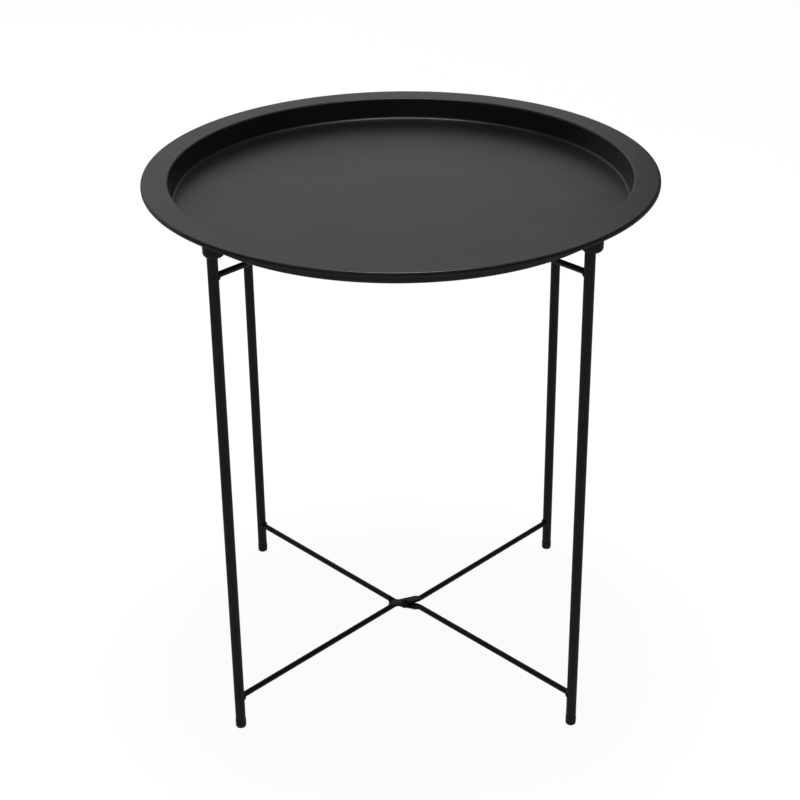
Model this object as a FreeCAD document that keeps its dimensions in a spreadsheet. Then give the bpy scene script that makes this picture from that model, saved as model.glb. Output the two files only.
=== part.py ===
"""Folding tray table: a round pressed-steel tray that lifts off, on two leg frames that cross under it.

Each frame is two upright tubes joined by a bottom rod and a top rod. Every rod is bent and pressed flat
at its middle, and the two frames are riveted there, one pivot low down and one under the tray, so that
frame B swings against frame A about the table's own upright axis. Frame B is frame A turned over.

Millimetres. The origin is on the floor under the tray's centre, +Z up, +X to the right of someone at the
table's front, which faces -Y.
"""
import FreeCAD
import Part
import Sketcher
import math
import os

doc = FreeCAD.newDocument("folding_tray_table")
doc.recompute()

# ---------------------------------------------------------------------------------------------------
# Driving dimensions. Each is written once here, and everything below reads it from the sheet.
# ---------------------------------------------------------------------------------------------------
DRIVING = (
    # overall
    ("table_height", 504.0, "floor to the top of the rim"),
    ("tray_diameter", 470.0, "over the rim"),
    # tray: one pressed sheet
    ("tray_gauge", 0.8, "sheet thickness"),
    ("well_depth", 20.5, "rim top to floor top"),
    ("wall_lean", 2.0, "how much smaller the well is at its floor, on the radius"),
    ("rim_drop", 4.0, "height of the turned-down edge"),
    ("hem_height", 1.6, "height of the edge's folded hem"),
    ("rim_bend", 2.2, "outside radius of the rim's outer corner"),
    ("well_top_bend", 2.0, "outside radius where the rim turns down into the well"),
    ("well_base_bend", 2.6, "inside radius between the well's wall and floor"),
    # legs: round tube
    ("leg_diameter", 9.5, "tube outside"),
    ("leg_wall", 1.0, "tube wall"),
    # rods: round bar, pressed flat at the middle
    ("rod_diameter", 5.5, "bar outside"),
    ("rod_inset", 34.0, "rod axis to each end of its frame"),
    ("rod_offset", 5.6, "pivot to the line of each half of a rod"),
    ("flat_reach", 12.8, "pivot to the bend at each end of the flat"),
    ("flat_width", 10.0, "pressed flat, across"),
    ("flat_thickness", 2.6, "pressed flat, thick"),
    # pivots
    ("rivet_diameter", 4.0, "shank"),
    ("rivet_head_diameter", 7.4, "head, across"),
    ("rivet_head_height", 1.4, "head, high"),
    ("washer_diameter", 8.4, "outside"),
    ("washer_thickness", 0.8, "between the two flats"),
    ("running_gap", 0.05, "clearance round and beside the turning flat"),
    # plastic ends
    ("foot_overhang", 0.35, "how far the foot's head stands out past the tube"),
    ("foot_height", 8.6, "head, below the tube"),
    ("foot_round", 2.4, "radius of the head's bottom edge"),
    ("plug_length", 12.0, "stem inside the tube"),
    ("cap_diameter", 19.0, "cap that the tray rests on"),
    ("cap_height", 15.0, "cap, bottom to crown"),
    ("cap_base_round", 4.5, "radius of the cap's lower edge"),
    ("cap_crown_round", 6.0, "radius of the cap's upper edge"),
    ("cap_shift", 2.5, "cap's centre to the leg's axis, round the table"),
    ("socket_depth", 10.0, "leg's reach into the cap"),
    ("seat_gap", 0.1, "under the rim, above the caps"),
    ("cap_edge_gap", 0.5, "cap to the hem, in the channel under the rim"),
    ("cap_wall_gap", 2.6, "cap to the well's wall, in that channel"),
    # welds
    ("weld_radius", 2.6, "bead where a rod meets a leg"),
    ("weld_height", 6.4, "bead, top to bottom"),
)
sheet = doc.addObject("Spreadsheet::Sheet", "Sizes")
for row, (alias, number, meaning) in enumerate(DRIVING, start=1):
    sheet.set(f"A{row}", alias)
    sheet.set(f"B{row}", str(number))
    sheet.set(f"C{row}", meaning)
    sheet.setAlias(f"B{row}", alias)
doc.recompute()


def size(alias):
    """The sheet's value for one driving dimension."""
    return float(getattr(sheet, alias))


def worked_out(expression):
    """The number that an expression in the sheet's names comes to."""
    return float(sheet.evalExpression(expression))


def named(*aliases):
    """The names as expressions that read the sheet, such as Sizes.leg_wall."""
    return [f"Sizes.{alias}" for alias in aliases]


# ---------------------------------------------------------------------------------------------------
# Ways of making a solid that several pieces share
# ---------------------------------------------------------------------------------------------------
def origin_plane(body, role):
    """One of the body's own origin planes, found by its role."""
    return next(feature for feature in body.Origin.OriginFeatures if feature.Role == role)


def turned_body(name, corners):
    """A body turned about its own Z axis. corners is the closed half outline, as (radius, height)
    pairs of expressions, and each corner is dimensioned from the axis and from the base plane."""
    body = doc.addObject("PartDesign::Body", name)
    body.Label = name
    outline = body.newObject("Sketcher::SketchObject", name + "_outline")
    outline.AttachmentSupport = [(origin_plane(body, "XZ_Plane"), "")]
    outline.MapMode = "FlatFace"
    points = [FreeCAD.Vector(worked_out(radius), worked_out(height), 0) for radius, height in corners]
    for start, end in zip(points, points[1:] + points[:1]):
        outline.addGeometry(Part.LineSegment(start, end), False)
    for line in range(len(points)):
        outline.addConstraint(Sketcher.Constraint("Coincident", line, 2, (line + 1) % len(points), 1))
    for line, (point, pair) in enumerate(zip(points, corners)):
        for kind, axis_line, place, expression in (
            ("DistanceX", -2, point.x, pair[0]),
            ("DistanceY", -1, point.y, pair[1]),
        ):
            if expression == "0":
                outline.addConstraint(Sketcher.Constraint("PointOnObject", line, 1, axis_line))
            else:
                row = outline.addConstraint(Sketcher.Constraint(kind, -1, 1, line, 1, place))
                outline.setExpression(f"Constraints[{row}]", expression)
    doc.recompute()
    turn = body.newObject("PartDesign::Revolution", name + "_turn")
    turn.Profile = outline
    turn.ReferenceAxis = (outline, ["V_Axis"])
    turn.Angle = 360.0
    doc.recompute()
    return body


def round_rings(body, rings, radius):
    """Fillets the circular edges of the body that lie at the given (radius, height) pairs."""
    base = body.Tip
    wanted = [(worked_out(ring), worked_out(height)) for ring, height in rings]
    names = []
    for number, edge in enumerate(base.Shape.Edges, start=1):
        if not isinstance(edge.Curve, Part.Circle):
            continue
        for ring, height in wanted:
            near_ring = abs(edge.Curve.Radius - ring) < 0.001
            near_height = abs(edge.Curve.Center.z - height) < 0.001
            if near_ring and near_height:
                names.append(f"Edge{number}")
    fillet = body.newObject("PartDesign::Fillet", f"{body.Name}_round")
    fillet.Base = (base, names)
    fillet.setExpression("Radius", radius)
    doc.recompute()
    return fillet


def cylinder(name, radius, height, placement=FreeCAD.Placement()):
    """A Part cylinder whose radius and height are expressions."""
    solid = doc.addObject("Part::Cylinder", name)
    solid.setExpression("Radius", radius)
    solid.setExpression("Height", height)
    solid.Placement = placement
    return solid


def joined(name, pieces):
    """Part solids fused to one."""
    fusion = doc.addObject("Part::MultiFuse", name)
    fusion.Shapes = pieces
    fusion.Refine = True
    return fusion


def cut(name, base, tool):
    """One Part solid cut away by another."""
    rest = doc.addObject("Part::Cut", name)
    rest.Base = base
    rest.Tool = tool
    rest.Label = name
    return rest


def at(x, y, z, turn=FreeCAD.Rotation()):
    """A placement at a point, turned."""
    return FreeCAD.Placement(FreeCAD.Vector(x, y, z), turn)


UP = FreeCAD.Vector(0, 0, 1)
nodes = []

# ---------------------------------------------------------------------------------------------------
# Tray: a flat floor, a steep wall, a flat rim and a turned-down, hemmed edge, all one sheet
# ---------------------------------------------------------------------------------------------------
HEIGHT, GAUGE = named("table_height", "tray_gauge")
RIM = "Sizes.tray_diameter / 2"
# from the rim's outside inwards: the hem's two thicknesses, a cap with its gaps, and the well's wall
CAP_EDGE = f"{RIM} - 2 * {GAUGE} - Sizes.cap_edge_gap"
WELL = f"{CAP_EDGE} - Sizes.cap_diameter - Sizes.cap_wall_gap - {GAUGE}"
WELL_BASE = f"{WELL} - Sizes.wall_lean"
FLOOR = f"{HEIGHT} - Sizes.well_depth"
EDGE = f"{HEIGHT} - Sizes.rim_drop"

tray = turned_body(
    "tray",
    (
        ("0", FLOOR),
        (WELL_BASE, FLOOR),
        (WELL, HEIGHT),
        (RIM, HEIGHT),
        (RIM, EDGE),
        (f"{RIM} - 2 * {GAUGE}", EDGE),
        (f"{RIM} - 2 * {GAUGE}", f"{EDGE} + Sizes.hem_height"),
        (f"{RIM} - {GAUGE}", f"{EDGE} + Sizes.hem_height"),
        (f"{RIM} - {GAUGE}", f"{HEIGHT} - {GAUGE}"),
        (f"{WELL} + {GAUGE}", f"{HEIGHT} - {GAUGE}"),
        (f"{WELL_BASE} + {GAUGE}", f"{FLOOR} - {GAUGE}"),
        ("0", f"{FLOOR} - {GAUGE}"),
    ),
)
round_rings(tray, [(RIM, HEIGHT)], "Sizes.rim_bend")
round_rings(tray, [(f"{RIM} - {GAUGE}", f"{HEIGHT} - {GAUGE}")], f"Sizes.rim_bend - {GAUGE}")
round_rings(tray, [(WELL, HEIGHT)], "Sizes.well_top_bend")
round_rings(tray, [(f"{WELL} + {GAUGE}", f"{HEIGHT} - {GAUGE}")], f"Sizes.well_top_bend - {GAUGE}")
round_rings(tray, [(WELL_BASE, FLOOR)], "Sizes.well_base_bend")
round_rings(tray, [(f"{WELL_BASE} + {GAUGE}", f"{FLOOR} - {GAUGE}")], f"Sizes.well_base_bend + {GAUGE}")
HEM_FOLD = f"0.9 * {GAUGE}"  # nearly the half circle that two thicknesses make
round_rings(tray, [(RIM, EDGE), (f"{RIM} - 2 * {GAUGE}", EDGE)], HEM_FOLD)
nodes.append(tray)

# ---------------------------------------------------------------------------------------------------
# Where things stand. The caps carry the rim's underside, and a frame runs from the floor to the crowns.
# The legs stand on a circle that puts the caps in the channel under the rim.
# ---------------------------------------------------------------------------------------------------
leg_circle = worked_out(f"{CAP_EDGE} - Sizes.cap_diameter / 2")
LEG_RADIUS = "Sizes.leg_diameter / 2"
LEG_BORE = f"{LEG_RADIUS} - Sizes.leg_wall"
ROD_RADIUS = "Sizes.rod_diameter / 2"

frame_height = size("table_height") - size("tray_gauge") - size("seat_gap")
cap_bottom = frame_height - size("cap_height")
leg_bottom = size("foot_height")
LEG_LENGTH = (
    f"{HEIGHT} - {GAUGE} - Sizes.seat_gap - Sizes.cap_height + Sizes.socket_depth - Sizes.foot_height"
)
rod_levels = {"bottom": size("rod_inset"), "top": frame_height - size("rod_inset")}
# leg: its angle round the table, and its frame
legs = {
    "front_left": (225.0, "a"),
    "back_right": (45.0, "a"),
    "front_right": (315.0, "b"),
    "back_left": (135.0, "b"),
}


def leg_place(angle, level):
    """On the leg circle at an angle, at a level, with local X pointing outwards."""
    turn = FreeCAD.Rotation(UP, angle)
    outwards = turn.multVec(FreeCAD.Vector(leg_circle, 0, level))
    return FreeCAD.Placement(outwards, turn)


def leg_tube(name, angle):
    """An open tube, from the foot's head to the bottom of the cap's socket."""
    outside = cylinder(name + "_outside", LEG_RADIUS, LEG_LENGTH)
    bore = cylinder(name + "_bore", LEG_BORE, LEG_LENGTH)
    tube = cut(name, outside, bore)
    tube.Placement = leg_place(angle, leg_bottom)
    return tube


def foot(name, angle):
    """A plastic plug: a head a little wider than the tube, rounded below, with a stem in the bore."""
    head, rise = f"{LEG_RADIUS} + Sizes.foot_overhang", "Sizes.foot_height"
    plug = turned_body(
        name,
        (
            ("0", "0"),
            (head, "0"),
            (head, rise),
            (LEG_BORE, rise),
            (LEG_BORE, f"{rise} + Sizes.plug_length"),
            ("0", f"{rise} + Sizes.plug_length"),
        ),
    )
    round_rings(plug, [(head, "0")], "Sizes.foot_round")
    plug.Placement = leg_place(angle, 0)
    return plug


def cap(name, angle):
    """A plastic cap that the tray rests on: a round head with a blind socket for the tube. The socket
    is a little off the head's centre, and the head stands further round the table than the leg."""
    edge, crown = "Sizes.cap_diameter / 2", "Sizes.cap_height"
    body = turned_body(name, (("0", "0"), (edge, "0"), (edge, crown), ("0", crown)))
    round_rings(body, [(edge, "0")], "Sizes.cap_base_round")
    round_rings(body, [(edge, crown)], "Sizes.cap_crown_round")
    mouth = body.newObject("Sketcher::SketchObject", name + "_mouth")
    mouth.AttachmentSupport = [(origin_plane(body, "XY_Plane"), "")]
    mouth.MapMode = "FlatFace"
    centre = FreeCAD.Vector(0, -size("cap_shift"), 0)
    mouth.addGeometry(Part.Circle(centre, UP, worked_out(LEG_RADIUS)), False)
    mouth.addConstraint(Sketcher.Constraint("PointOnObject", 0, 3, -2))
    shift = mouth.addConstraint(Sketcher.Constraint("DistanceY", 0, 3, -1, 1, size("cap_shift")))
    mouth.setExpression(f"Constraints[{shift}]", "Sizes.cap_shift")
    radius = mouth.addConstraint(Sketcher.Constraint("Radius", 0, worked_out(LEG_RADIUS)))
    mouth.setExpression(f"Constraints[{radius}]", LEG_RADIUS)
    doc.recompute()
    before = body.Shape.Volume
    socket = body.newObject("PartDesign::Pocket", name + "_socket")
    socket.Profile = mouth
    socket.setExpression("Length", "Sizes.socket_depth")
    socket.Reversed = True
    doc.recompute()
    if body.Shape.Volume >= before:
        raise RuntimeError(f"{name}: the socket cut nothing")
    body.Placement = leg_place(angle, cap_bottom) * at(0, size("cap_shift"), 0)
    return body


for leg, (angle, frame) in legs.items():
    nodes.append(leg_tube("leg_" + leg, angle))
    nodes.append(foot("foot_" + leg, angle))
    nodes.append(cap("cap_" + leg, angle))

# ---------------------------------------------------------------------------------------------------
# Rods and welds. In a rod's own frame the pivot is the origin and the two legs are at -X and +X. Each
# half of the bar aims at its leg's axis and passes rod_offset from the pivot, and the flat joins them.
# ---------------------------------------------------------------------------------------------------
half_turn = math.degrees(math.asin(size("rod_offset") / leg_circle))
past_pivot = math.sqrt(size("flat_reach") ** 2 - size("rod_offset") ** 2)
half_line = FreeCAD.Rotation(UP, half_turn)
bend_point = half_line.multVec(FreeCAD.Vector(past_pivot, -size("rod_offset"), 0))
flat_turn = FreeCAD.Rotation(FreeCAD.Vector(1, 0, 0), bend_point)
half_length = (FreeCAD.Vector(leg_circle, 0, 0) - bend_point).Length
opposite = FreeCAD.Rotation(UP, 180)
ALONG_X = FreeCAD.Rotation(FreeCAD.Vector(0, 1, 0), 90)


def leg_blanks(name):
    """The two legs' outsides, as tools for the ends of what meets them: tall enough for rod and weld."""
    tall = "Sizes.rod_diameter + Sizes.weld_height"
    low = -worked_out(tall) / 2
    return [
        cylinder(f"{name}_leg_{side}", LEG_RADIUS, tall, at(side * leg_circle, 0, low))
        for side in (-1, 1)
    ]


def bar_half(name, turn):
    """The round bar from a bend of the flat to the leg's axis, with a ball at the bend."""
    bar = doc.addObject("Part::Cylinder", name)
    bar.setExpression("Radius", ROD_RADIUS)
    bar.Height = half_length
    bar.Placement = FreeCAD.Placement(turn.multVec(bend_point), turn * half_line * ALONG_X)
    ball = doc.addObject("Part::Sphere", name + "_ball")
    ball.setExpression("Radius", ROD_RADIUS)
    ball.Placement = FreeCAD.Placement(turn.multVec(bend_point), FreeCAD.Rotation())
    return [bar, ball]


def rod(name, place, bore_radius):
    """A rod: two halves of round bar and the flat between them, holed for the rivet, with ends that
    are coped to the legs. The flat lies above the bar's axis by half a washer."""
    lift = size("washer_thickness") / 2
    plate = doc.addObject("Part::Box", name + "_flat")
    plate.setExpression("Length", "2 * Sizes.flat_reach")
    plate.setExpression("Width", "Sizes.flat_width")
    plate.setExpression("Height", "Sizes.flat_thickness")
    corner = FreeCAD.Vector(-size("flat_reach"), -size("flat_width") / 2, lift)
    plate.Placement = FreeCAD.Placement(flat_turn.multVec(corner), flat_turn)
    pieces = [plate]
    for side, turn in (("far", opposite), ("near", FreeCAD.Rotation())):
        end = turn.multVec(bend_point)
        round_end = cylinder(f"{name}_{side}_end", "Sizes.flat_width / 2", "Sizes.flat_thickness")
        round_end.Placement = at(end.x, end.y, lift)
        pieces.append(round_end)
        pieces += bar_half(f"{name}_{side}_bar", turn)
    rivet_hole = cylinder(name + "_hole", bore_radius, "Sizes.flat_thickness", at(0, 0, lift))
    tools = joined(name + "_tools", leg_blanks(name) + [rivet_hole])
    whole = cut(name, joined(name + "_blank", pieces), tools)
    whole.Placement = place
    return whole


WELD_ROUND = "0.7 * Sizes.weld_radius"
WELD_STANDS_OFF = "Sizes.weld_radius / 4"  # the bead's middle, off the tube's face


def weld_pair(name, place):
    """The two beads of one rod: each fills the corner between the bar and the tube, on one side. A bead
    is an upright barrel with rounded ends, cut away where the bar and the tube are."""
    beads = []
    edge, tall = "Sizes.weld_radius", "Sizes.weld_height"
    for turn in (opposite, FreeCAD.Rotation()):
        label = f"{name}_{len(beads)}"
        barrel = turned_body(label + "_barrel", (("0", "0"), (edge, "0"), (edge, tall), ("0", tall)))
        round_rings(barrel, [(edge, "0"), (edge, tall)], WELD_ROUND)
        from_leg = worked_out(f"{LEG_RADIUS} + {WELD_STANDS_OFF}")
        off_leg = FreeCAD.Vector(-from_leg, worked_out(ROD_RADIUS), 0)
        corner = FreeCAD.Vector(leg_circle, 0, 0) + half_line.multVec(off_leg)
        low = FreeCAD.Vector(0, 0, -size("weld_height") / 2)
        barrel.Placement = FreeCAD.Placement(turn.multVec(corner) + low, FreeCAD.Rotation())
        bar = bar_half(label + "_bar", turn)[0]
        bead = cut(label, barrel, joined(label + "_tools", leg_blanks(label) + [bar]))
        bead.Placement = place
        beads.append(bead)
    return beads


turned_over = FreeCAD.Rotation(FreeCAD.Vector(1, 0, 0), 180)
welds = {"a": [], "b": []}
for level, rod_height in rod_levels.items():
    place_a = at(0, 0, rod_height, FreeCAD.Rotation(UP, 45))
    place_b = at(0, 0, rod_height - size("running_gap"), FreeCAD.Rotation(UP, -45) * turned_over)
    rivet_radius = "Sizes.rivet_diameter / 2"
    nodes.append(rod(f"{level}_rod_a", place_a, rivet_radius))
    nodes.append(rod(f"{level}_rod_b", place_b, f"{rivet_radius} + Sizes.running_gap"))
    welds["a"] += weld_pair(f"weld_a_{level}", place_a)
    welds["b"] += weld_pair(f"weld_b_{level}", place_b)
for frame, beads in welds.items():
    group = doc.addObject("Part::Compound", f"welds_{frame}")
    group.Label = f"welds_{frame}"
    group.Links = beads
    nodes.append(group)

# ---------------------------------------------------------------------------------------------------
# Pivots: a rivet through both flats, fast in frame A's, with a washer between them
# ---------------------------------------------------------------------------------------------------
SHANK = "Sizes.rivet_diameter / 2"
HEAD = "Sizes.rivet_head_diameter / 2"
ABOVE = "Sizes.washer_thickness / 2 + Sizes.flat_thickness"
BELOW = f"{ABOVE} + 2 * Sizes.running_gap"
HEAD_ROUND = "0.85 * Sizes.rivet_head_height"


def rivet(name, rod_height):
    """A shank with a low domed head at each end, with running clearance beside the lower flat."""
    top, bottom = f"{ABOVE} + Sizes.rivet_head_height", f"-({BELOW} + Sizes.rivet_head_height)"
    body = turned_body(
        name,
        (
            ("0", bottom),
            (HEAD, bottom),
            (HEAD, f"-({BELOW})"),
            (SHANK, f"-({BELOW})"),
            (SHANK, ABOVE),
            (HEAD, ABOVE),
            (HEAD, top),
            ("0", top),
        ),
    )
    round_rings(body, [(HEAD, bottom), (HEAD, top)], HEAD_ROUND)
    body.Placement = at(0, 0, rod_height)
    return body


def washer(name, rod_height):
    """A flat ring on the rivet's shank, midway between the two flats."""
    ring = cylinder(name + "_ring", "Sizes.washer_diameter / 2", "Sizes.washer_thickness")
    hole = cylinder(name + "_hole", SHANK, "Sizes.washer_thickness")
    body = cut(name, ring, hole)
    body.Placement = at(0, 0, rod_height - size("washer_thickness") / 2)
    return body


for level, rod_height in rod_levels.items():
    nodes.append(rivet(f"{level}_rivet", rod_height))
    nodes.append(washer(f"{level}_washer", rod_height))

# ---------------------------------------------------------------------------------------------------
# Check everything, then write one STEP file per piece
# ---------------------------------------------------------------------------------------------------
doc.recompute()
for thing in doc.Objects:
    if "Invalid" in thing.State or "Error" in thing.State:
        raise RuntimeError(f"{thing.Name} didn't compute: {thing.State}")
for node in nodes:
    if node.Shape.isNull() or not node.Shape.isValid() or node.Shape.Volume <= 0:
        raise RuntimeError(f"{node.Label} has no valid solid")

os.makedirs("parts", exist_ok=True)
for node in nodes:
    node.Shape.exportStep(f"parts/{node.Label}.step")
    print(f"{node.Label}: {len(node.Shape.Solids)} solid(s), {node.Shape.Volume:.1f} mm3")
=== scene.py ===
"""Folding tray table: two black leg frames that cross under a round pressed-steel tray.

Metres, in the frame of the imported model: the origin is on the floor under the tray's centre, +Z up, and
the table's front faces -Y. Frame a holds the front left and back right legs, frame b the other two.
"""
import math

import bpy
import numpy as np
from mathutils import Matrix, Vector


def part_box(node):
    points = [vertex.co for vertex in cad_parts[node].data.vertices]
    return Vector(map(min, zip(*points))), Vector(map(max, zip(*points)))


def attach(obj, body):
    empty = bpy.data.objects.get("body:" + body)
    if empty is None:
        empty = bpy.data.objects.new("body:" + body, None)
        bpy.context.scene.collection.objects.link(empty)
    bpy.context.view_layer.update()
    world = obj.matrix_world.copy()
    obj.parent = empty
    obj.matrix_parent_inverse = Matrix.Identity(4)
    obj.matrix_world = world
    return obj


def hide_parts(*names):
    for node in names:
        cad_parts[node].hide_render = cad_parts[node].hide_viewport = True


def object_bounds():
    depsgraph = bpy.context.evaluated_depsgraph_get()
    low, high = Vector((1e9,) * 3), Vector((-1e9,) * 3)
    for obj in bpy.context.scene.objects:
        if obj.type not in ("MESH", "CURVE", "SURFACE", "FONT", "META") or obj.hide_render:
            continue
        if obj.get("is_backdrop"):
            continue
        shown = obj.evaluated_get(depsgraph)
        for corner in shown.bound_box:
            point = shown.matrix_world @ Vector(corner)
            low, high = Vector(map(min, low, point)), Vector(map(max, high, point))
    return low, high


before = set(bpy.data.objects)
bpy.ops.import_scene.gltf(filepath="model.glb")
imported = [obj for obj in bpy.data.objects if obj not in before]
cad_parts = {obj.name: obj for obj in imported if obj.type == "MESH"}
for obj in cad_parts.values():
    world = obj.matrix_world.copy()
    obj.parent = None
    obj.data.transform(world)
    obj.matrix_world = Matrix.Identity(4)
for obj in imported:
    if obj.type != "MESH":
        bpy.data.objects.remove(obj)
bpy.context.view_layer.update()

# ---------------------------------------------------------------------------------------------------
# Leg tubes: four lengths of thin-walled welded steel tube, cut square, with the burr rolled off both
# ends. Powder-coated black after welding: a satin skin with a faint orange peel.
# ---------------------------------------------------------------------------------------------------
MM = 0.001
FRAME_OF_LEG = {"front_left": "a", "back_right": "a", "front_right": "b", "back_left": "b"}
TUBE_WALL = 1.0 * MM
TUBE_END_ROUND = 0.25 * MM
AROUND_SMALL = 72  # points round a tube, bar, rivet, washer, plug or cap
RING_STEP = 22.5  # degrees per step where a small edge is rounded
NOISE_LOW, NOISE_HIGH = 0.3, 0.7  # nearly all of a noise texture lies between these
GRIT_SHARE = 0.35  # the fine grit's height, as a share of the peel's
PLASTIC_IOR = 1.5  # powder coat and moulded plastic


def rounded(corners, degrees_per_step=7.5, longest=0.012, closed=False):
    """An outline with its corners rounded. corners are (x, z, radius) rows. An arc touches both sides of
    its corner: it starts radius x tan(turn / 2) from the corner, and its middle is one radius to the side.
    Each straight is parted by points a little way in from its ends, and by more where it is long."""
    points = np.array([corner[:2] for corner in corners], float)
    before, after = np.roll(points, 1, 0), np.roll(points, -1, 0)
    outline = []
    for number, radius in enumerate(corner[2] for corner in corners):
        here = points[number]
        is_end = not closed and number in (0, len(points) - 1)
        if radius == 0 or is_end:
            outline.append(here[None])
            continue
        way_in = (here - before[number]) / np.linalg.norm(here - before[number])
        way_out = (after[number] - here) / np.linalg.norm(after[number] - here)
        side = np.array([-way_in[1], way_in[0]])
        turn = math.atan2(way_out @ side, way_out @ way_in)
        side = side * math.copysign(1, turn)
        steps = max(2, math.ceil(math.degrees(abs(turn)) / degrees_per_step))
        angle = np.linspace(0, abs(turn), steps + 1)[:, None]
        start = here - way_in * radius * math.tan(abs(turn) / 2)
        outline.append(start + radius * (way_in * np.sin(angle) + side * (1 - np.cos(angle))))
    parted = []
    pairs = zip(outline, outline[1:] + outline[:1] if closed else outline[1:])
    for arc, following in pairs:
        gap = following[0] - arc[-1]
        length = np.linalg.norm(gap)
        guard = min(0.25 * MM / length, 0.3) if length > 0 else 0
        inner = np.linspace(guard, 1 - guard, max(2, math.ceil(length / longest) + 1))[:, None]
        parted += [arc, arc[-1] + gap * inner] if length > 0.05 * MM else [arc]
    return np.concatenate(parted if closed else parted + [outline[-1]])


def turned(outline, centre, around=AROUND_SMALL):
    """Rings of points: each outline point (radius, height) goes round the upright line through centre."""
    angle = np.arange(around) * 2 * math.pi / around
    radius, height = outline[:, :1], outline[:, 1:]
    flat = np.zeros((len(outline), around))
    return np.stack(
        [centre[0] + radius * np.cos(angle), centre[1] + radius * np.sin(angle), flat + height], axis=-1
    )


def skin(name, shells):
    """A mesh object of closed shells. A shell is (rings, poles): rings is an array (ring, point, 3) whose
    rings close on themselves, and quads join each ring to the next. Poles are the two points that close
    the ends with fans. Without them, the last ring joins the first."""
    vertices, faces, used = [], [], 0
    for rings, poles in shells:
        count, around = rings.shape[:2]
        index = used + np.arange(count * around).reshape(count, around)
        beside = np.roll(index, -1, 1)
        lower = slice(None) if poles is None else slice(None, -1)
        above = (np.roll(index, -1, 0), np.roll(beside, -1, 0))
        quads = np.stack([index, beside, above[1], above[0]], -1)[lower]
        faces += quads.reshape(-1, 4).tolist()
        vertices.append(rings.reshape(-1, 3))
        used += count * around
        if poles is not None:
            vertices.append(np.array(poles, float))
            first, last = np.full(around, used), np.full(around, used + 1)
            faces += np.stack([first, beside[0], index[0]], -1).tolist()
            faces += np.stack([last, index[-1], beside[-1]], -1).tolist()
            used += 2
    mesh = bpy.data.meshes.new(name)
    mesh.from_pydata(np.concatenate(vertices).tolist(), [], faces)
    mesh.shade_smooth()
    piece = bpy.data.objects.new(name, mesh)
    bpy.context.scene.collection.objects.link(piece)
    return piece


def turned_shell(outline, centre, around=AROUND_SMALL):
    """A shell turned from an outline that starts and ends on the axis: its end points are the poles."""
    ends = [(centre[0], centre[1], outline[end, 1]) for end in (0, -1)]
    return turned(outline[1:-1], centre, around), ends


def middle(node):
    """The upright line through the middle of a CAD node's box, and the box's half width and two levels."""
    low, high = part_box(node)
    return ((low.x + high.x) / 2, (low.y + high.y) / 2), (high.x - low.x) / 2, low.z, high.z


def linear(code):
    """An sRGB hex colour as linear RGBA: a channel c is ((c + 0.055) / 1.055) ** 2.4, or c / 12.92 when
    it is 0.04045 or less."""
    channels = [int(code[start:start + 2], 16) / 255 for start in (1, 3, 5)]
    return [c / 12.92 if c <= 0.04045 else ((c + 0.055) / 1.055) ** 2.4 for c in channels] + [1]


def add(tree, kind, sockets=None, **settings):
    """Adds a node. sockets maps an input's name or number to a value, or to the output that feeds it."""
    node = tree.nodes.new("ShaderNode" + kind)
    for setting, value in settings.items():
        setattr(node, setting, value)
    for socket, value in (sockets or {}).items():
        if isinstance(value, bpy.types.NodeSocket):
            tree.links.new(value, node.inputs[socket])
        else:
            node.inputs[socket].default_value = value
    return node


def new_material(name):
    """An empty node material: its tree, and its Object coordinates."""
    material = bpy.data.materials.new(name)
    material.use_nodes = True
    material.node_tree.nodes.clear()
    place = add(material.node_tree, "TexCoord").outputs["Object"]
    return material, material.node_tree, place


def powder_coat(name, dark, light, matt, smooth, peel_mm, stretch=(1, 1, 1)):
    """Baked polyester powder: two close blacks where the film is thinner and thicker, a roughness that
    drifts between smooth and matt over a few centimetres, and a peel whose hills are peel_mm apart.
    A real peel is about 1 mm; it is drawn up to twice as coarse so that it shows."""
    material, tree, place = new_material(name)
    placed = add(tree, "Mapping", {"Vector": place, "Scale": stretch}).outputs[0]
    film = add(tree, "TexNoise", {"Vector": placed, "Scale": 1 / (5 * MM), "Detail": 4.0, "Roughness": 0.7})
    drift = add(tree, "TexNoise", {"Vector": place, "Scale": 1 / (45 * MM), "Detail": 2.0})
    peel = add(tree, "TexNoise", {"Vector": placed, "Scale": 1 / (peel_mm * MM), "Detail": 1.0})
    grit = add(tree, "TexNoise", {"Vector": placed, "Scale": 1 / (0.45 * peel_mm * MM), "Detail": 0.0})
    colour = add(tree, "MapRange", {
        "Vector": film.outputs["Fac"],
        7: (NOISE_LOW,) * 3,
        8: (NOISE_HIGH,) * 3,
        9: linear(dark)[:3],
        10: linear(light)[:3],
    }, data_type="FLOAT_VECTOR")
    rough = add(tree, "MapRange", {
        "Value": drift.outputs["Fac"], 1: NOISE_LOW, 2: NOISE_HIGH, 3: smooth, 4: matt,
    })
    hills = add(tree, "Math", {
        0: grit.outputs["Fac"], 1: GRIT_SHARE, 2: peel.outputs["Fac"],
    }, operation="MULTIPLY_ADD")
    bump = add(tree, "Bump", {"Height": hills.outputs[0], "Strength": 0.5, "Distance": 0.08 * MM})
    skin_shader = add(tree, "BsdfPrincipled", {
        "Base Color": colour.outputs["Vector"],
        "Roughness": rough.outputs["Result"],
        "Normal": bump.outputs["Normal"],
        "IOR": PLASTIC_IOR,
    })
    add(tree, "OutputMaterial", {"Surface": skin_shader.outputs[0]})
    return material


# satin black polyester powder on the frame: soft streaks of light down the tubes, and a peel that is
# drawn out to twice its width along them
LENGTHWISE = (1, 1, 0.5)
frame_powder = powder_coat(
    "satin_black_powder_coat_frame", "#0d0d0e", "#161617", 0.54, 0.44, 1.6, stretch=LENGTHWISE
)


def finish_piece(piece, material, slot, body, *nodes):
    """Paints a piece, stands it in for its CAD nodes and lets it ride on its body."""
    piece.data.materials.append(material)
    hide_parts(*nodes)
    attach(piece, body)


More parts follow.
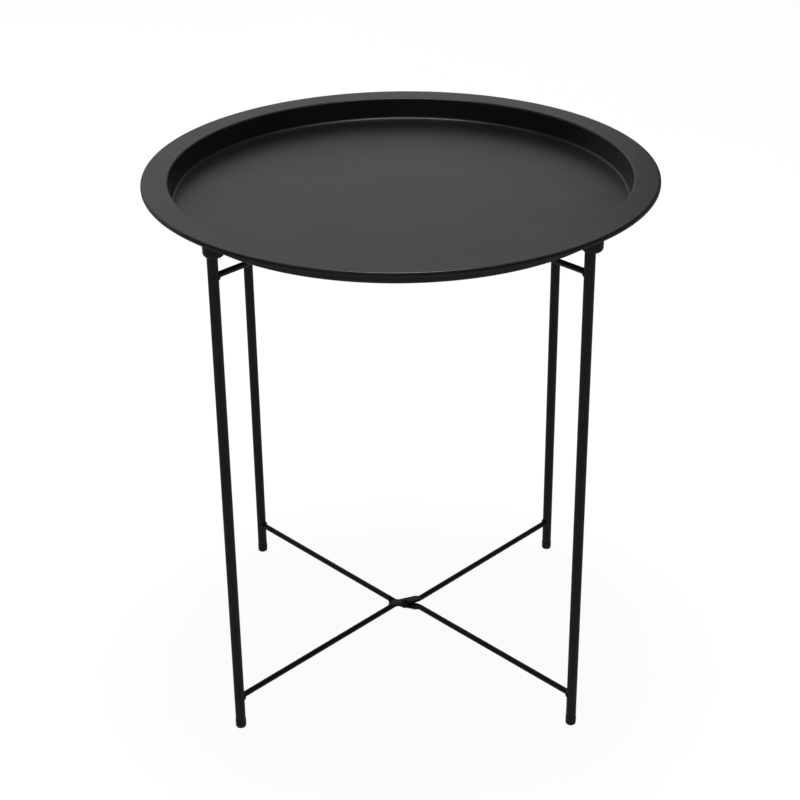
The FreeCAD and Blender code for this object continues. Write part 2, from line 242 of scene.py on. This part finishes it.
for leg, side in FRAME_OF_LEG.items():
    axis, tube_radius, low, high = middle("leg_" + leg)
    bore = tube_radius - TUBE_WALL
    ring = rounded([
        (bore, low, TUBE_END_ROUND),
        (tube_radius, low, TUBE_END_ROUND),
        (tube_radius, high, TUBE_END_ROUND),
        (bore, high, TUBE_END_ROUND),
    ], degrees_per_step=RING_STEP, closed=True)
    tube = skin("leg_tube_" + leg, [(turned(ring, axis), None)])
    finish_piece(tube, frame_powder, "frame_coat", "frame_" + side, "leg_" + leg)

# ---------------------------------------------------------------------------------------------------
# Rods: round steel bar, bent at two points and pressed flat between them, where the rivet goes through.
# The flat is pushed to one side of the bar, so that two rods cross with their bars level. Each end is
# coped to its leg. Coated with the frame.
# ---------------------------------------------------------------------------------------------------
BAR_RADIUS = 2.75 * MM
HALF_LINE_OFFSET = 5.6 * MM  # pivot to the line of each half of the bar
FLAT_REACH = 12.8 * MM  # pivot to the bend
FLAT_HALF_WIDTH = 5.0 * MM
FLAT_HALF_THICK = 1.3 * MM
FLAT_LIFT = 1.7 * MM  # the flat's middle above the bar's
BEND_RADIUS = 9 * MM
FLAT_ENDS = 13.5 * MM  # distance from the pivot where the flat starts to turn round again
ROUND_AGAIN = 18.0 * MM
SQUARENESS = 9  # the flat's edges are rounded, and squarer with a higher number
BAR_RINGS = 161
CROWDING = 4.0  # a higher number sets the rings closer together near the pivot
WELD_BITE = 0.05 * MM
RUNNING_GAP = 0.05 * MM
RIVET_HOLE = 2.05 * MM
DRILL_REACH = 4 * FLAT_LIFT  # above and below the pivot, past the flat

leg_axis, leg_radius, _, _ = middle("leg_front_left")
leg_circle = math.hypot(*leg_axis)
half_turn = math.asin(HALF_LINE_OFFSET / leg_circle)
flat_angle = half_turn - math.asin(HALF_LINE_OFFSET / FLAT_REACH)
bend = half_turn - flat_angle
bend_tangent = BEND_RADIUS * math.tan(bend / 2)
bend_starts = FLAT_REACH - bend_tangent
flat_way = np.array([math.cos(flat_angle), math.sin(flat_angle)])
flat_side = np.array([-flat_way[1], flat_way[0]])
half_way = np.array([math.cos(half_turn), math.sin(half_turn)])
half_side = np.array([-half_way[1], half_way[0]])
leg_point = np.array([leg_circle, 0.0])
bend_to_leg = np.linalg.norm(leg_point - FLAT_REACH * flat_way) - bend_tangent
bar_length = bend_starts + BEND_RADIUS * bend + bend_to_leg
pivot_level = {level: sum(middle(level + "_washer")[2:]) / 2 for level in ("bottom", "top")}


def into_frame(points, side, level):
    """Rod coordinates, with the pivot at the origin and the legs at -X and +X, to the table's. Frame a's
    rod is turned 45 degrees. Frame b's goes the other way and is turned over, so its flat is below."""
    x, y, z = np.moveaxis(points, -1, 0)
    way = 1 if side == "a" else -1
    y, z = way * y, way * z - (0 if side == "a" else RUNNING_GAP)
    half = math.sqrt(0.5)
    return np.stack([half * (x - way * y), half * (way * x + y), z + pivot_level[level]], -1)


def bar_line(along):
    """The bar's centre line at a distance along it from the pivot, and its direction: the flat's straight,
    an arc of BEND_RADIUS and the straight half that aims at the leg, the same both ways."""
    distance = np.abs(along)[:, None]
    turn = np.clip((distance - bend_starts) / BEND_RADIUS, 0, bend)
    on_arc = np.sin(turn) * flat_way + (1 - np.cos(turn)) * flat_side
    past = np.maximum(distance - bend_starts - BEND_RADIUS * bend, 0)
    line = np.minimum(distance, bend_starts) * flat_way + BEND_RADIUS * on_arc + past * half_way
    return np.sign(along)[:, None] * line, np.cos(turn) * flat_way + np.sin(turn) * flat_side


def cope(angle, bite=WELD_BITE):
    """Where the bar's surface meets the leg at +X: at angle t the bar is r cos t to the side, and the leg
    of radius R is sqrt(R^2 - (r cos t)^2) from its axis there."""
    to_side = BAR_RADIUS * np.cos(angle)[:, None]
    reach = np.sqrt(leg_radius**2 - to_side**2) - bite
    flat = leg_point - reach * half_way + to_side * half_side
    return np.concatenate([flat, BAR_RADIUS * np.sin(angle)[:, None]], -1)


def bar_shell(side, level):
    """One rod. A ring's point at angle t is thick x cos t + (wide - thick) x clip(SQUARENESS x cos t)
    across, and thick x sin t up: a circle where wide and thick agree, and elsewhere a flat with rounded
    edges."""
    spread = np.sinh(CROWDING * np.linspace(-1, 1, BAR_RINGS)) / math.sinh(CROWDING)
    along = spread * (bar_length - leg_radius - BAR_RADIUS / 2)
    line, way = bar_line(along)
    across = np.stack([-way[:, 1], way[:, 0]], -1)
    share = np.clip((ROUND_AGAIN - np.abs(along)) / (ROUND_AGAIN - FLAT_ENDS), 0, 1)[:, None]
    flatness = share * share * (3 - 2 * share)
    wide = BAR_RADIUS + flatness * (FLAT_HALF_WIDTH - BAR_RADIUS)
    thick = BAR_RADIUS + flatness * (FLAT_HALF_THICK - BAR_RADIUS)
    angle = np.arange(AROUND_SMALL) * 2 * math.pi / AROUND_SMALL
    to_side = thick * np.cos(angle) + (wide - thick) * np.clip(SQUARENESS * np.cos(angle), -1, 1)
    up = flatness * FLAT_LIFT + thick * np.sin(angle)
    rings = np.concatenate([line[:, None] + to_side[..., None] * across[:, None], up[..., None]], -1)
    ends = cope(angle), cope(math.pi - angle) * (-1, -1, 1)
    tip = np.array([*(leg_point - half_way * (leg_radius - WELD_BITE)), 0])
    rings = np.concatenate([ends[1][None], rings, ends[0][None]])
    return into_frame(rings, side, level), into_frame(np.array([tip * (-1, -1, 1), tip]), side, level)


def drill_pivot(piece, radius, low, high):
    """Cuts a round upright hole through the piece on the table's axis."""
    outline = np.array([(0, low), (radius, low), (radius, high), (0, high)])
    drill = skin("drill", [turned_shell(outline, (0, 0))])
    cut = piece.modifiers.new("hole", "BOOLEAN")
    cut.object = drill
    cut.solver = "EXACT"
    evaluated = piece.evaluated_get(bpy.context.evaluated_depsgraph_get())
    holed = bpy.data.meshes.new_from_object(evaluated)
    piece.modifiers.clear()
    piece.data = holed
    bpy.data.objects.remove(drill)


for side in "ab":
    for level in ("bottom", "top"):
        bar = skin(f"{level}_cross_bar_{side}", [bar_shell(side, level)])
        drill_pivot(bar, RIVET_HOLE, pivot_level[level] - DRILL_REACH, pivot_level[level] + DRILL_REACH)
        finish_piece(bar, frame_powder, "frame_coat", "frame_" + side, f"{level}_rod_{side}")

# ---------------------------------------------------------------------------------------------------
# Weld beads: one run of wire at each end of each rod, laid over the bar's side from top to bottom in the
# corner that it makes with the leg. Overlapping puddles leave ripples. Coated with the frame.
# ---------------------------------------------------------------------------------------------------
BEAD_RADIUS = 2.2 * MM
BEAD_BITE = 0.4 * BEAD_RADIUS  # how far the bead's middle is sunk into the leg
BEAD_HALF_SWEEP = math.radians(105)  # from the bar's side, up and down round it
BEAD_RIPPLES = 6
RIPPLE_DEPTH = 0.07
HEAVE = 0.06  # a puddle's size may be off by this share
BEAD_RINGS = 49
AROUND_BEAD = 28
wobble = np.random.default_rng(7)


def bead_shell(side, level, end):
    """A tube along the cope. Its radius at share v from -1 to 1 is BEAD_RADIUS x (1 - v^4)^(1/2), less
    by RIPPLE_DEPTH between puddles, and a few percent off at random from puddle to puddle."""
    share = np.linspace(-1, 1, BEAD_RINGS + 2)[1:-1]
    centre = cope(share * BEAD_HALF_SWEEP, bite=BEAD_BITE)
    way = np.gradient(centre, axis=0)
    way /= np.linalg.norm(way, axis=1, keepdims=True)
    angle = share[:, None] * BEAD_HALF_SWEEP
    outwards = np.concatenate([np.cos(angle) * half_side, np.sin(angle)], -1)
    outwards -= way * np.sum(outwards * way, axis=1, keepdims=True)
    outwards /= np.linalg.norm(outwards, axis=1, keepdims=True)
    beside = np.cross(way, outwards)
    puddle = np.abs(np.sin(BEAD_RIPPLES * math.pi * (share + 1) / 2))
    heave = np.interp(share, np.linspace(-1, 1, BEAD_RIPPLES), wobble.uniform(-HEAVE, HEAVE, BEAD_RIPPLES))
    radius = BEAD_RADIUS * np.sqrt(1 - share**4) * (1 - RIPPLE_DEPTH * (1 - puddle) + heave)
    round_it = np.arange(AROUND_BEAD) * 2 * math.pi / AROUND_BEAD
    sway = outwards[:, None] * np.cos(round_it)[:, None] + beside[:, None] * np.sin(round_it)[:, None]
    rings = centre[:, None] + radius[:, None, None] * sway
    turn = (end, end, 1)
    tips = cope(np.array([-1, 1]) * BEAD_HALF_SWEEP, bite=BEAD_BITE)
    return into_frame(rings * turn, side, level), into_frame(tips * turn, side, level)


for side in "ab":
    beads = skin("weld_beads_" + side, [
        bead_shell(side, level, end) for level in ("bottom", "top") for end in (-1, 1)
    ])
    finish_piece(beads, frame_powder, "frame_coat", "frame_" + side, "welds_" + side)

# ---------------------------------------------------------------------------------------------------
# Rivets and washers: a semi-tubular steel rivet holds each pair of flats, domed above and rolled over
# below, fast in frame a, with a stamped washer between the flats. Coated black with the frame.
# ---------------------------------------------------------------------------------------------------
HEAD_RIM = 0.25 * MM
SHANK_RADIUS = 2.0 * MM
ROLLED_HOLLOW = 1.15 * MM
HOLLOW_DEPTH = 1.6 * MM
WASHER_EDGE = 0.2 * MM
DOME_STEPS = 10
ROLL_SHARE = 0.49  # the rolled edge's radius, as a share of the lower head's height
CRISP = 0.1 * MM  # an edge that is only just rounded

# the rivets are set before the frame is coated, so they take the same powder: a thinner film on them,
# which looks a little paler and smoother
rivet_powder = powder_coat("thin_black_powder_coat_rivet", "#0f0f10", "#1c1c1d", 0.5, 0.4, 1.2)
for level in ("bottom", "top"):
    _, head_radius, low, high = middle(level + "_rivet")
    axis, washer_radius, washer_low, washer_high = middle(level + "_washer")
    flat_top = washer_high + 2 * FLAT_HALF_THICK
    flat_bottom = washer_low - 2 * FLAT_HALF_THICK - 2 * RUNNING_GAP
    dome = np.linspace(0, math.pi / 2, DOME_STEPS)[1:, None]
    domed = np.concatenate([
        head_radius * np.cos(dome),
        flat_top + HEAD_RIM + (high - flat_top - HEAD_RIM) * np.sin(dome),
    ], -1)
    roll = (flat_bottom - low) * ROLL_SHARE
    lower = rounded([
        (0, low + HOLLOW_DEPTH, 0),
        (ROLLED_HOLLOW, low + HOLLOW_DEPTH, 0.3 * MM),
        (ROLLED_HOLLOW, low, roll),
        (head_radius, low, roll),
        (head_radius, flat_bottom, roll),
        (SHANK_RADIUS, flat_bottom, CRISP),
        (SHANK_RADIUS, flat_top, CRISP),
        (head_radius, flat_top, CRISP),
        (head_radius, flat_top + HEAD_RIM, 0),
    ])
    rivet = skin(level + "_pivot_rivet", [turned_shell(np.concatenate([lower, domed]), axis)])
    finish_piece(rivet, rivet_powder, "rivet_coat", "frame_a", level + "_rivet")
    ring = rounded([
        (SHANK_RADIUS, washer_low, WASHER_EDGE),
        (washer_radius, washer_low, WASHER_EDGE),
        (washer_radius, washer_high, WASHER_EDGE),
        (SHANK_RADIUS, washer_high, WASHER_EDGE),
    ], degrees_per_step=RING_STEP, closed=True)
    washer = skin(level + "_pivot_washer", [(turned(ring, axis), None)])
    finish_piece(washer, rivet_powder, "rivet_coat", "frame_a", level + "_washer")

# ---------------------------------------------------------------------------------------------------
# Feet: injection-moulded polyethylene plugs, pushed into the tubes. The head has a rounded sole with a
# shallow dish in it, and a small bead under the tube. Barbs on the stem hold it in the bore.
# ---------------------------------------------------------------------------------------------------
SOLE_ROUND = 2.4 * MM
SOLE_DISH = 0.5 * MM
DISH_RADIUS = 2.0 * MM
HEAD_HEIGHT = 8.6 * MM
HEAD_TAPER = 0.15 * MM
HEAD_BEAD = 0.8 * MM  # the bead under the tube, high
BARB_DEPTH = 0.3 * MM
BARB_HEIGHT = 0.4 * MM
BARBS = 4


def moulded(name, dark, light, matt, smooth, texture_mm, scuff_height=0.0):
    """Moulded black plastic: an even matt spark-eroded texture, with faint flow marks in the colour.
    Below scuff_height the floor has rubbed it paler."""
    material, tree, place = new_material(name)
    flow = add(tree, "TexNoise", {"Vector": place, "Scale": 1 / (7 * MM), "Detail": 3.0, "Distortion": 0.8})
    eroded = add(tree, "TexNoise", {"Vector": place, "Scale": 1 / (texture_mm * MM), "Detail": 2.0})
    colour = add(tree, "MapRange", {
        "Vector": flow.outputs["Fac"],
        7: (NOISE_LOW,) * 3,
        8: (NOISE_HIGH,) * 3,
        9: linear(dark)[:3],
        10: linear(light)[:3],
    }, data_type="FLOAT_VECTOR")
    rough = add(tree, "MapRange", {
        "Value": eroded.outputs["Fac"], 1: NOISE_LOW, 2: NOISE_HIGH, 3: smooth, 4: matt,
    })
    painted = colour.outputs["Vector"]
    if scuff_height:
        height = add(tree, "SeparateXYZ", {0: place}).outputs["Z"]
        low_down = add(tree, "MapRange", {"Value": height, 1: 0.0, 2: scuff_height, 3: 1.0, 4: 0.0})
        scratches = add(tree, "TexNoise", {"Vector": place, "Scale": 1 / (1.1 * MM), "Detail": 4.0})
        picked = add(tree, "MapRange", {"Value": scratches.outputs["Fac"], 1: 0.45, 2: 0.65})
        scuffed = add(tree, "Math", {0: low_down.outputs[0], 1: picked.outputs[0]}, operation="MULTIPLY")
        painted = add(tree, "Mix", {
            0: scuffed.outputs[0], 6: painted, 7: linear("#3a3937"),
        }, data_type="RGBA").outputs[2]
    bump = add(tree, "Bump", {"Height": eroded.outputs["Fac"], "Strength": 0.4, "Distance": 0.05 * MM})
    plastic = add(tree, "BsdfPrincipled", {
        "Base Color": painted,
        "Roughness": rough.outputs["Result"],
        "Normal": bump.outputs["Normal"],
        "IOR": PLASTIC_IOR,
    })
    add(tree, "OutputMaterial", {"Surface": plastic.outputs[0]})
    return material


# polyethylene: a matt, nearly black skin with hardly a highlight, and a paler sole
foot_plastic = moulded("moulded_black_polyethylene_foot", "#0c0c0c", "#131313", 0.6, 0.46, 0.7, 1.5 * MM)
for leg, side in FRAME_OF_LEG.items():
    axis, head_radius, sole, stem_top = middle("foot_" + leg)
    bore = leg_radius - TUBE_WALL
    head_top = sole + HEAD_HEIGHT
    barb_levels = np.linspace(head_top + 1.0 * MM, stem_top - 1.2 * MM, BARBS)
    barbs = [
        corner for level in barb_levels
        for corner in ((bore - BARB_DEPTH, level, CRISP), (bore, level + BARB_HEIGHT, CRISP))
    ]
    outline = rounded([
        (0, sole + SOLE_DISH, 0),
        (DISH_RADIUS, sole + SOLE_DISH, 0.4 * MM),
        (DISH_RADIUS + SOLE_DISH, sole, 0.2 * MM),
        (head_radius - HEAD_TAPER, sole, SOLE_ROUND * 0.9),
        (head_radius - HEAD_TAPER / 3, head_top - 1.1 * MM, 0.3 * MM),
        (head_radius, head_top - HEAD_BEAD, 0.2 * MM),
        (head_radius, head_top, 0.3 * MM),
        (bore - BARB_DEPTH, head_top, CRISP),
        *barbs,
        (bore - BARB_DEPTH, stem_top, 0.8 * MM),
        (0, stem_top, 0),
    ])
    foot = skin("foot_plug_" + leg, [turned_shell(outline, axis)])
    finish_piece(foot, foot_plastic, "black_plastic", "frame_" + side, "foot_" + leg)

# ---------------------------------------------------------------------------------------------------
# Caps: moulded plastic heads, pushed onto the tubes' upper ends, which the tray's rim rests on. The
# socket is off the head's centre. A fine parting ridge runs round the head, and its crown has a gate mark.
# ---------------------------------------------------------------------------------------------------
BASE_ROUND = 4.5 * MM
CROWN_ROUND = 6.0 * MM
SOCKET_DEPTH = 10 * MM
PARTING_LEVEL = 0.52  # share of the cap's height
PARTING_STEP = 0.08 * MM
GATE_RADIUS = 1.1 * MM
GATE_DEPTH = 0.25 * MM
BASE_STEPS = 12


def cap_shell(centre, radius, low, high, tube_axis, tube_radius):
    """The head's side and crown are turned about its own axis. Its base is a sheet between the socket's
    mouth and the side: a share s of the way out from the mouth at each angle, at the height that the
    rounded base has there, low + B - sqrt(B^2 - (d - (R - B))^2) at distance d from the head's axis."""
    level = low + PARTING_LEVEL * (high - low)
    body = radius - PARTING_STEP
    side = rounded([
        (body, low + BASE_ROUND, 0),
        (body, level - PARTING_STEP, CRISP),
        (radius, level, CRISP / 2),
        (body, level + PARTING_STEP, CRISP),
        (body, high, CROWN_ROUND - PARTING_STEP),
        (GATE_RADIUS + GATE_DEPTH, high, 0.15 * MM),
        (GATE_RADIUS, high - GATE_DEPTH, CRISP),
        (0, high - GATE_DEPTH, 0),
    ])
    angle = np.arange(AROUND_SMALL) * 2 * math.pi / AROUND_SMALL
    circle = np.stack([np.cos(angle), np.sin(angle)], -1)
    mouth, edge = tube_axis + tube_radius * circle, centre + body * circle
    share = np.sin(np.linspace(0, math.pi / 2, BASE_STEPS))[:-1, None, None]
    base = mouth + share * (edge - mouth)
    out = np.maximum(np.linalg.norm(base - centre, axis=-1) - (body - BASE_ROUND), 0)
    lift = BASE_ROUND - np.sqrt(BASE_ROUND**2 - np.minimum(out, BASE_ROUND) ** 2)
    base = np.concatenate([base, (low + lift)[..., None]], -1)
    ceiling = np.full((1, AROUND_SMALL, 1), low + SOCKET_DEPTH)
    socket = np.concatenate([mouth[None], ceiling], -1)
    rings = np.concatenate([socket, base, turned(side[:-1], centre)])
    return rings, [(*tube_axis, low + SOCKET_DEPTH), (*centre, side[-1, 1])]


# polypropylene: as dark as the feet and a little smoother, so a soft light runs down its side
cap_plastic = moulded("moulded_black_polypropylene_cap", "#0b0b0b", "#121212", 0.55, 0.42, 0.8)
for leg, side in FRAME_OF_LEG.items():
    centre, radius, low, high = middle("cap_" + leg)
    tube_axis = np.array(middle("leg_" + leg)[0])
    cap = skin("rim_cap_" + leg, [cap_shell(np.array(centre), radius, low, high, tube_axis, leg_radius)])
    finish_piece(cap, cap_plastic, "black_plastic", "frame_" + side, "cap_" + leg)

# ---------------------------------------------------------------------------------------------------
# Tray: one disc of 0.8 mm steel, deep-drawn to a flat floor and a steep wall, with a flat rim whose edge
# is turned down and hemmed inwards. Powder-coated black, a little glossier than the frame.
# ---------------------------------------------------------------------------------------------------
GAUGE = 0.8 * MM
RIM_WIDTH = 24.5 * MM
WALL_LEAN = 2.0 * MM
RIM_DROP = 4.0 * MM
HEM_HEIGHT = 1.6 * MM
RIM_BEND = 2.2 * MM
WELL_TOP_BEND = 2.0 * MM
WELL_BASE_BEND = 2.6 * MM
HEM_FOLD = 0.98 * GAUGE  # nearly the half circle that two thicknesses make
RIM_INSET = 0.02 * MM  # keeps the turned rim inside the faceted rim that it stands in for
AROUND_TRAY = 480

_, half_width, under, top = middle("tray")
axis, rim = (0, 0), half_width - RIM_INSET
well = rim - RIM_WIDTH
well_base = well - WALL_LEAN
floor = under + GAUGE
edge = top - RIM_DROP
sheet = rounded([
    (0, under, 0),
    (well_base + GAUGE, under, WELL_BASE_BEND + GAUGE),
    (well + GAUGE, top - GAUGE, WELL_TOP_BEND - GAUGE),
    (rim - GAUGE, top - GAUGE, RIM_BEND - GAUGE),
    (rim - GAUGE, edge + HEM_HEIGHT, 0),
    (rim - 2 * GAUGE, edge + HEM_HEIGHT, 0.2 * MM),
    (rim - 2 * GAUGE, edge, HEM_FOLD),
    (rim, edge, HEM_FOLD),
    (rim, top, RIM_BEND),
    (well, top, WELL_TOP_BEND),
    (well_base, floor, WELL_BASE_BEND),
    (0, floor, 0),
])
tray = skin("pressed_tray", [turned_shell(sheet, axis, AROUND_TRAY)])
# satin black polyester powder on the tray: smooth enough that the flat floor and rim take a broad sheen
tray_powder = powder_coat("satin_black_powder_coat_tray", "#111112", "#1f1f20", 0.345, 0.32, 1.8)
finish_piece(tray, tray_powder, "tray_coat", "tray", "tray")

# ---------------------------------------------------------------------------------------------------
# Studio: a pale floor that runs out of sight, a wide panel behind for the sheen on the tray, a soft box
# overhead and a weak fill in front. Floor and room are pale to the camera and dimmer to the table.
# ---------------------------------------------------------------------------------------------------
FLOOR_HALF = 40.0
FLOOR_SEEN = 0.93  # how bright the floor glows to the camera
FLOOR_FELT = 0.27  # how bright it is to the table and in its gloss
ROOM_FELT = 0.09
WHITE = linear("#ffffff")

material, tree, place = new_material("matt_white_studio_floor")
seen = add(tree, "LightPath").outputs["Is Camera Ray"]
tooth = add(tree, "TexNoise", {"Vector": place, "Scale": 3.0, "Detail": 2.0})
shade = add(tree, "MapRange", {"Value": tooth.outputs["Fac"], 3: 0.22, 4: 0.26})
paper = add(tree, "BsdfDiffuse", {"Color": shade.outputs[0]})
glow = add(tree, "Emission", {"Color": WHITE, "Strength": FLOOR_SEEN})
lit = add(tree, "AddShader", {0: paper.outputs[0], 1: glow.outputs[0]})
dim = add(tree, "Emission", {"Color": WHITE, "Strength": FLOOR_FELT})
either = add(tree, "MixShader", {0: seen, 1: dim.outputs[0], 2: lit.outputs[0]})
add(tree, "OutputMaterial", {"Surface": either.outputs[0]})
mesh = bpy.data.meshes.new("studio_floor")
corners = [(x * FLOOR_HALF, y * FLOOR_HALF, 0) for x, y in ((-1, -1), (1, -1), (1, 1), (-1, 1))]
mesh.from_pydata(corners, [], [(0, 1, 2, 3)])
mesh.materials.append(material)
studio_floor = bpy.data.objects.new("studio_floor", mesh)
bpy.context.scene.collection.objects.link(studio_floor)
studio_floor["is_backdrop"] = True

world = bpy.data.worlds.new("studio")
bpy.context.scene.world = world
world.use_nodes = True
world.node_tree.nodes.clear()
tree = world.node_tree
seen = add(tree, "LightPath").outputs["Is Camera Ray"]
room = add(tree, "Background", {"Color": WHITE, "Strength": ROOM_FELT})
backdrop = add(tree, "Background", {"Color": WHITE, "Strength": 1.0})
either = add(tree, "MixShader", {0: seen, 1: room.outputs[0], 2: backdrop.outputs[0]})
add(tree, "OutputWorld", {"Surface": either.outputs[0]})


def facing(place, target, roll=0.0):
    """A matrix at place whose -Z looks at target, with +X level and then rolled."""
    place = np.array(place, float)
    forward = np.array(target, float) - place
    forward /= np.linalg.norm(forward)
    right = np.cross(forward, (0, 0, 1))
    right /= np.linalg.norm(right)
    up = np.cross(right, forward)
    rolled = right * math.cos(roll) + up * math.sin(roll), up * math.cos(roll) - right * math.sin(roll)
    matrix = np.eye(4)
    matrix[:3] = np.stack([*rolled, -forward, place], -1)
    return Matrix(matrix.tolist())


def soft_box(name, place, target, width, height, radiance):
    """A rectangular light that faces target. Its power is pi x radiance x area."""
    light = bpy.data.lights.new(name, "AREA")
    light.shape = "RECTANGLE"
    light.size, light.size_y = width, height
    light.energy = math.pi * radiance * width * height
    box = bpy.data.objects.new(name, light)
    box.matrix_world = facing(place, target)
    box.visible_camera = False
    bpy.context.scene.collection.objects.link(box)


tray_level = (0, 0, top)
soft_box("panel_behind", (-2.35, 2.2, 1.7), (-2.05, 0, top), 6.0, 1.9, 0.48)
soft_box("box_overhead", (0.0, 0.1, 1.9), tray_level, 0.6, 0.7, 8.0)
soft_box("fill_in_front", (-0.8, -2.4, 1.9), (0, 0, 0.25), 1.6, 1.2, 0.4)

# ---------------------------------------------------------------------------------------------------
# Camera: a little over a metre up and a metre and a half in front of the tray's centre, looking down.
# ---------------------------------------------------------------------------------------------------
CAMERA_PLACE = np.array([0.0027, -1.5483, 1.0716])
CAMERA_PITCH = math.radians(27.404)  # down
CAMERA_YAW = math.radians(0.203)  # to the left
CAMERA_ROLL = math.radians(-0.622)
lens = bpy.data.cameras.new("camera")
lens.sensor_width = 36.0
lens.lens = 81.02
camera = bpy.data.objects.new("camera", lens)
looks = np.array([
    -math.sin(CAMERA_YAW) * math.cos(CAMERA_PITCH),
    math.cos(CAMERA_YAW) * math.cos(CAMERA_PITCH),
    -math.sin(CAMERA_PITCH),
])
camera.matrix_world = facing(CAMERA_PLACE, CAMERA_PLACE + looks, CAMERA_ROLL)
bpy.context.scene.collection.objects.link(camera)
bpy.context.scene.camera = camera
bpy.context.scene.view_settings.view_transform = "Standard"

low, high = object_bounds()
